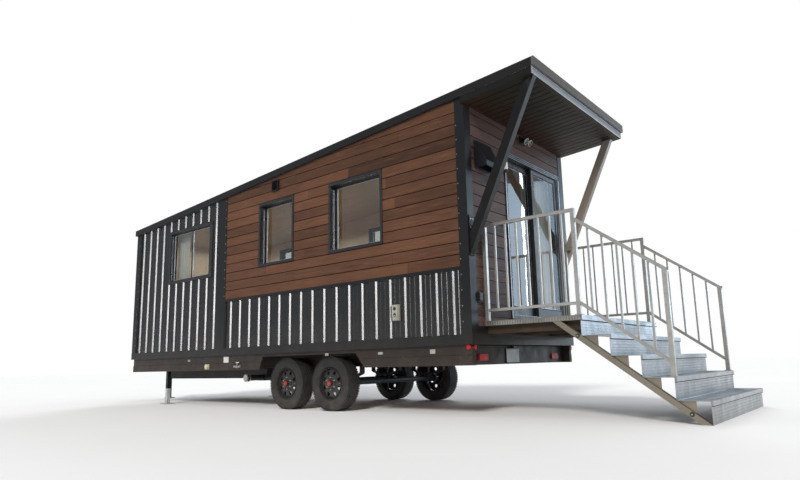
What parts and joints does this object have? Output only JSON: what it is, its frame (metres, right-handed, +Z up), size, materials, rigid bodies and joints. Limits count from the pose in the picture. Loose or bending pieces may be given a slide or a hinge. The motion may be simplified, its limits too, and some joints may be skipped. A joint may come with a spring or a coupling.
{
  "type": "tiny house on wheels",
  "caption": "Mono-pitch timber and metal clad cabin on a tandem-axle trailer, with a sliding patio door, a braced canopy, and an aluminium landing with steps.",
  "frame": {"origin": "on the ground under the middle of the whole outline", "axes": "+X toward the end with the door and the steps, -Y the long side seen in the picture, +Z up"},
  "size_m": [10.788, 2.56, 3.6891],
  "materials": {
    "plywood": "plain",
    "wall_panel": "painted inner face",
    "ribbed_metal": "satin black ribbed sheet",
    "boards": "brown composite boards",
    "black_trim": "satin black",
    "soffit": "matt dark grooved panel",
    "brace_wood": "satin black tube",
    "roof_metal": "matt grey sheet",
    "window_black": "black powder coat",
    "glass": "clear",
    "black_fitting": "satin black",
    "cover_grey": "matt grey",
    "chassis": "satin, dusty",
    "jack_steel": "satin black",
    "axle_paint": "dark blue-green paint",
    "spring_steel": "dull",
    "red_lens": "gloss",
    "plate_white": "gloss, blank",
    "pipe_black": "matt",
    "tank_black": "matt black plastic",
    "curtain_cloth": "light grey woven cloth",
    "curtain_rod": "satin off-white",
    "aluminium": "mill finish tread plate",
    "joist_paint": "brown paint",
    "rail_aluminium": "mill finish",
    "tyre": "dusty rubber",
    "rim": "black steel wheel, red cap"
  },
  "bodies": {
    "house": {"axles": "axle_paint", "base_band": "black_trim", "canopy_braces": "brace_wood", "canopy_soffit": "soffit", "coupler": "chassis", "cross_members": "chassis", "curtain_rails": "curtain_rod", "curtains": "curtain_cloth", "door_header_wall": "wall_panel", "door_wall_far_side": "wall_panel", "door_wall_near_side": "wall_panel", "drawbar": "chassis", "far_wall": "wall_panel", "floor_slab": "plywood", "hitch_wall": "wall_panel", "holding_tank": "tank_black", "landing_deck": "aluminium", "landing_joists": "joist_paint", "landing_railings": "rail_aluminium", "leaf_springs": "spring_steel", "main_beams": "chassis", "marker_lamps": "red_lens", "metal_cladding_far": "ribbed_metal", "metal_cladding_hitch_end": "ribbed_metal", "metal_cladding_near": "ribbed_metal", "near_wall": "wall_panel", "number_plate": "plate_white", "outlet_covers": "cover_grey", "patio_door_fixed_glass": "glass", "patio_door_fixed_panel": "window_black", "patio_door_frame": "window_black", "rear_crossmember": "chassis", "roof_fascia": "black_trim", "roof_slab": "roof_metal", "side_rails": "chassis", "stabiliser_legs": "jack_steel", "stair_railings": "rail_aluminium", "stair_stringers": "aluminium", "stair_treads": "aluminium", "tongue_jack": "jack_steel", "vent_hood": "black_fitting", "wall_lamps": "black_fitting", "wall_trims": "black_trim", "waste_pipe": "pipe_black", "window_frames": "window_black", "window_glass": "glass", "wood_siding_door_end": "boards", "wood_siding_far": "boards", "wood_siding_near": "boards"},
    "sliding_door": {"patio_door_sliding_panel": "window_black", "patio_door_sliding_glass": "glass"},
    "wheel_rear_near": {"tyre_rear_near": "tyre", "rim_rear_near": "rim"},
    "wheel_rear_far": {"tyre_rear_far": "tyre", "rim_rear_far": "rim"},
    "wheel_front_near": {"tyre_front_near": "tyre", "rim_front_near": "rim"},
    "wheel_front_far": {"tyre_front_far": "tyre", "rim_front_far": "rim"}
  },
  "joints": [
    {"name": "door_slide", "type": "slide", "parent": "house", "child": "sliding_door", "axis": [0, 1, 0], "range_m": [0, 0.6]},
    {"name": "spin_rear_near", "type": "hinge", "parent": "house", "child": "wheel_rear_near", "pos_m": [0.936, -1.084, 0.345], "axis": [0, 1, 0], "continuous": true},
    {"name": "spin_rear_far", "type": "hinge", "parent": "house", "child": "wheel_rear_far", "pos_m": [0.936, 1.084, 0.345], "axis": [0, 1, 0], "continuous": true},
    {"name": "spin_front_near", "type": "hinge", "parent": "house", "child": "wheel_front_near", "pos_m": [0.076, -1.084, 0.345], "axis": [0, 1, 0], "continuous": true},
    {"name": "spin_front_far", "type": "hinge", "parent": "house", "child": "wheel_front_far", "pos_m": [0.076, 1.084, 0.345], "axis": [0, 1, 0], "continuous": true}
  ]
}
